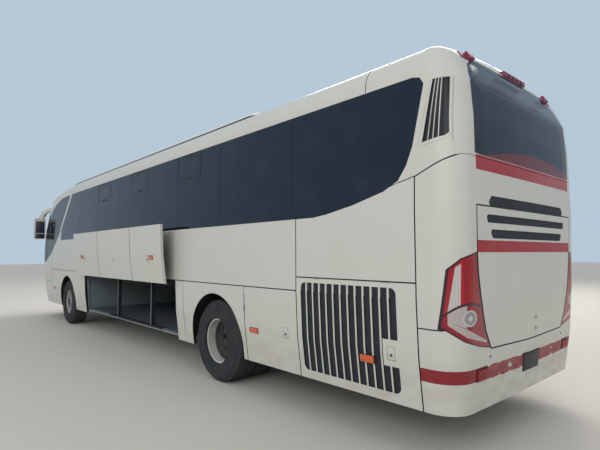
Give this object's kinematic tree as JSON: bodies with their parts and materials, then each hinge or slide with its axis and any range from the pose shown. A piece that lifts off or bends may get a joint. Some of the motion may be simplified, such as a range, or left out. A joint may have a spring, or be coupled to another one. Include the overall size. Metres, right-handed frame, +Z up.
{
  "type": "coach bus",
  "caption": "Long-distance coach with a raised passenger deck, parallel-lift luggage doors, twin rear wheels, a rear engine hatch and a roof fairing.",
  "frame": {"origin": "on the ground under the middle of the bounding box", "axes": "+X forward along the coach, +Y to its left, +Z up"},
  "size_m": [12.6048, 3.092, 3.525],
  "materials": {
    "body_paint": "off-white paint, dull and lightly soiled, with red stripes",
    "dark_glass": "dark tinted, glossy",
    "clear_glass": "lightly tinted, glossy",
    "lamp_red": "red and clear lens",
    "lamp_clear": "clear lens",
    "tyre_rubber": "worn, dusty",
    "rim_steel": "silver-grey paint, dusty",
    "chassis_black": "black, dirty",
    "engine_iron": "bare",
    "radiator_metal": "dull",
    "arm_steel": "zinc plated",
    "bay_lining": "dark grey, with a bright sill",
    "floor_board": "dark vinyl",
    "black_plastic": "grained",
    "seat_cloth": "dark blue cloth"
  },
  "bodies": {
    "coach_body": {"side_glass_right": "dark_glass", "side_glass_left": "dark_glass", "windscreen": "clear_glass", "rear_glass": "dark_glass", "roof_shell": "body_paint", "rear_crown": "body_paint", "side_wall_left": "body_paint", "side_wall_right": "body_paint", "skirt_left": "body_paint", "skirt_right": "body_paint", "rear_cap": "body_paint", "rear_bumper": "body_paint", "front_cap": "body_paint", "front_bumper": "body_paint", "rear_lamps": "lamp_red", "headlamps": "lamp_clear", "luggage_bay": "bay_lining", "cabin_floor": "floor_board", "entry_steps": "floor_board", "wheel_housings": "chassis_black", "chassis_rails": "chassis_black", "engine": "engine_iron", "radiator": "radiator_metal", "front_axle": "chassis_black", "rear_axle": "chassis_black", "roof_fairing": "body_paint", "mirrors": "body_paint", "seats": "seat_cloth", "dashboard": "black_plastic"},
    "front_wheel_left": {"front_tyre_left": "tyre_rubber", "front_rim_left": "rim_steel"},
    "rear_wheels_left": {"rear_tyres_left": "tyre_rubber", "rear_rims_left": "rim_steel"},
    "knuckle_left": {"knuckle_left": "chassis_black"},
    "service_door_left": {"service_door_left": "body_paint"},
    "luggage_arms_left_1": {"luggage_arms_left_1": "arm_steel"},
    "luggage_door_left_1": {"luggage_door_left_1": "body_paint"},
    "luggage_arms_left_2": {"luggage_arms_left_2": "arm_steel"},
    "luggage_door_left_2": {"luggage_door_left_2": "body_paint"},
    "luggage_arms_left_3": {"luggage_arms_left_3": "arm_steel"},
    "luggage_door_left_3": {"luggage_door_left_3": "body_paint"},
    "front_wheel_right": {"front_tyre_right": "tyre_rubber", "front_rim_right": "rim_steel"},
    "rear_wheels_right": {"rear_tyres_right": "tyre_rubber", "rear_rims_right": "rim_steel"},
    "knuckle_right": {"knuckle_right": "chassis_black"},
    "service_door_right": {"service_door_right": "body_paint"},
    "luggage_arms_right_1": {"luggage_arms_right_1": "arm_steel"},
    "luggage_door_right_1": {"luggage_door_right_1": "body_paint"},
    "luggage_arms_right_2": {"luggage_arms_right_2": "arm_steel"},
    "luggage_door_right_2": {"luggage_door_right_2": "body_paint"},
    "luggage_arms_right_3": {"luggage_arms_right_3": "arm_steel"},
    "luggage_door_right_3": {"luggage_door_right_3": "body_paint"},
    "steering_wheel": {"steering_wheel": "black_plastic"},
    "rear_hatch": {"rear_hatch": "body_paint"},
    "radiator_door": {"radiator_door": "body_paint"},
    "engine_door": {"engine_door": "body_paint"},
    "entry_door_arm": {"entry_door_arm": "arm_steel"},
    "entry_door": {"entry_door": "body_paint", "entry_door_glass": "clear_glass"}
  },
  "joints": [
    {"name": "steering_wheel_turn", "type": "hinge", "parent": "coach_body", "child": "steering_wheel", "pos_m": [5.17, 0.74, 1.79], "axis": [-0.7894, 0, 0.6139], "range_deg": [-720, 720]},
    {"name": "steer_left", "type": "hinge", "parent": "coach_body", "child": "knuckle_left", "pos_m": [3.74, 0.9, 0.515], "axis": [0, 0, 1], "range_deg": [-40, 40]},
    {"name": "front_wheel_left_roll", "type": "hinge", "parent": "knuckle_left", "child": "front_wheel_left", "pos_m": [3.74, 1.0975, 0.515], "axis": [0, 1, 0], "continuous": true},
    {"name": "rear_wheels_left_roll", "type": "hinge", "parent": "coach_body", "child": "rear_wheels_left", "pos_m": [-2.87, 1.0975, 0.515], "axis": [0, 1, 0], "continuous": true},
    {"name": "steer_right", "type": "hinge", "parent": "coach_body", "child": "knuckle_right", "pos_m": [3.74, -0.9, 0.515], "axis": [0, 0, 1], "range_deg": [-40, 40]},
    {"name": "front_wheel_right_roll", "type": "hinge", "parent": "knuckle_right", "child": "front_wheel_right", "pos_m": [3.74, -1.0975, 0.515], "axis": [0, 1, 0], "continuous": true},
    {"name": "rear_wheels_right_roll", "type": "hinge", "parent": "coach_body", "child": "rear_wheels_right", "pos_m": [-2.87, -1.0975, 0.515], "axis": [0, 1, 0], "continuous": true},
    {"name": "luggage_arms_left_1_swing", "type": "hinge", "parent": "coach_body", "child": "luggage_arms_left_1", "pos_m": [1.652, 1.21374, 1.19599], "axis": [1, 0, 0], "range_deg": [-146.52, 0]},
    {"name": "luggage_door_left_1_swing", "type": "hinge", "parent": "luggage_arms_left_1", "child": "luggage_door_left_1", "pos_m": [1.652, 1.45974, 1.568], "axis": [1, 0, 0], "range_deg": [0, 146.52]},
    {"name": "luggage_arms_right_1_swing", "type": "hinge", "parent": "coach_body", "child": "luggage_arms_right_1", "pos_m": [1.652, -1.21374, 1.19599], "axis": [-1, 0, 0], "range_deg": [0, 146.52]},
    {"name": "luggage_door_right_1_swing", "type": "hinge", "parent": "luggage_arms_right_1", "child": "luggage_door_right_1", "pos_m": [1.652, -1.21374, 0.75], "axis": [-1, 0, 0], "range_deg": [-146.52, 0]},
    {"name": "luggage_arms_left_2_swing", "type": "hinge", "parent": "coach_body", "child": "luggage_arms_left_2", "pos_m": [0.119, 1.21374, 1.19599], "axis": [1, 0, 0], "range_deg": [-146.52, 0]},
    {"name": "luggage_door_left_2_swing", "type": "hinge", "parent": "luggage_arms_left_2", "child": "luggage_door_left_2", "pos_m": [0.119, 1.45974, 1.568], "axis": [1, 0, 0], "range_deg": [0, 146.52]},
    {"name": "luggage_arms_right_2_swing", "type": "hinge", "parent": "coach_body", "child": "luggage_arms_right_2", "pos_m": [0.119, -1.21374, 1.19599], "axis": [-1, 0, 0], "range_deg": [0, 146.52]},
    {"name": "luggage_door_right_2_swing", "type": "hinge", "parent": "luggage_arms_right_2", "child": "luggage_door_right_2", "pos_m": [0.119, -1.21374, 0.75], "axis": [-1, 0, 0], "range_deg": [-146.52, 0]},
    {"name": "luggage_arms_left_3_swing", "type": "hinge", "parent": "coach_body", "child": "luggage_arms_left_3", "pos_m": [-1.243, 1.21374, 1.19599], "axis": [1, 0, 0], "range_deg": [-146.52, 0]},
    {"name": "luggage_door_left_3_swing", "type": "hinge", "parent": "luggage_arms_left_3", "child": "luggage_door_left_3", "pos_m": [-1.243, 1.45974, 1.568], "axis": [1, 0, 0], "range_deg": [0, 146.52]},
    {"name": "luggage_arms_right_3_swing", "type": "hinge", "parent": "coach_body", "child": "luggage_arms_right_3", "pos_m": [-1.243, -1.21374, 1.19599], "axis": [-1, 0, 0], "range_deg": [0, 146.52]},
    {"name": "luggage_door_right_3_swing", "type": "hinge", "parent": "luggage_arms_right_3", "child": "luggage_door_right_3", "pos_m": [-1.243, -1.21374, 0.75], "axis": [-1, 0, 0], "range_deg": [-146.52, 0]},
    {"name": "rear_hatch_swing", "type": "hinge", "parent": "coach_body", "child": "rear_hatch", "pos_m": [-6.297, 0, 2], "axis": [0, 1, 0], "range_deg": [0, 80]},
    {"name": "service_door_left_swing", "type": "hinge", "parent": "coach_body", "child": "service_door_left", "pos_m": [-3.5525, 1.293, 0.8], "axis": [0, 0, -1], "range_deg": [0, 95]},
    {"name": "service_door_right_swing", "type": "hinge", "parent": "coach_body", "child": "service_door_right", "pos_m": [-3.5525, -1.293, 0.8], "axis": [0, 0, 1], "range_deg": [0, 95]},
    {"name": "radiator_door_swing", "type": "hinge", "parent": "coach_body", "child": "radiator_door", "pos_m": [-5.2, 1.3, 1.3875], "axis": [1, 0, 0], "range_deg": [0, 100]},
    {"name": "engine_door_swing", "type": "hinge", "parent": "coach_body", "child": "engine_door", "pos_m": [-5.2, -1.3, 1.3875], "axis": [-1, 0, 0], "range_deg": [0, 100]},
    {"name": "entry_door_arm_swing", "type": "hinge", "parent": "coach_body", "child": "entry_door_arm", "pos_m": [5.22, -1.165, 1.5], "axis": [0, 0, 1], "range_deg": [0, 115]},
    {"name": "entry_door_swing", "type": "hinge", "parent": "entry_door_arm", "child": "entry_door", "pos_m": [4.8, -1.165, 1.5], "axis": [0, 0, 1], "range_deg": [-115, 0]}
  ],
  "couplings": [
    {"joint": "steer_right", "follows": "steer_left", "ratio": 1},
    {"joint": "steering_wheel_turn", "follows": "steer_left", "ratio": 18},
    {"joint": "luggage_door_left_1_swing", "follows": "luggage_arms_left_1_swing", "ratio": -1},
    {"joint": "luggage_door_right_1_swing", "follows": "luggage_arms_right_1_swing", "ratio": -1},
    {"joint": "luggage_door_left_2_swing", "follows": "luggage_arms_left_2_swing", "ratio": -1},
    {"joint": "luggage_door_right_2_swing", "follows": "luggage_arms_right_2_swing", "ratio": -1},
    {"joint": "luggage_door_left_3_swing", "follows": "luggage_arms_left_3_swing", "ratio": -1},
    {"joint": "luggage_door_right_3_swing", "follows": "luggage_arms_right_3_swing", "ratio": -1},
    {"joint": "entry_door_swing", "follows": "entry_door_arm_swing", "ratio": -1}
  ]
}
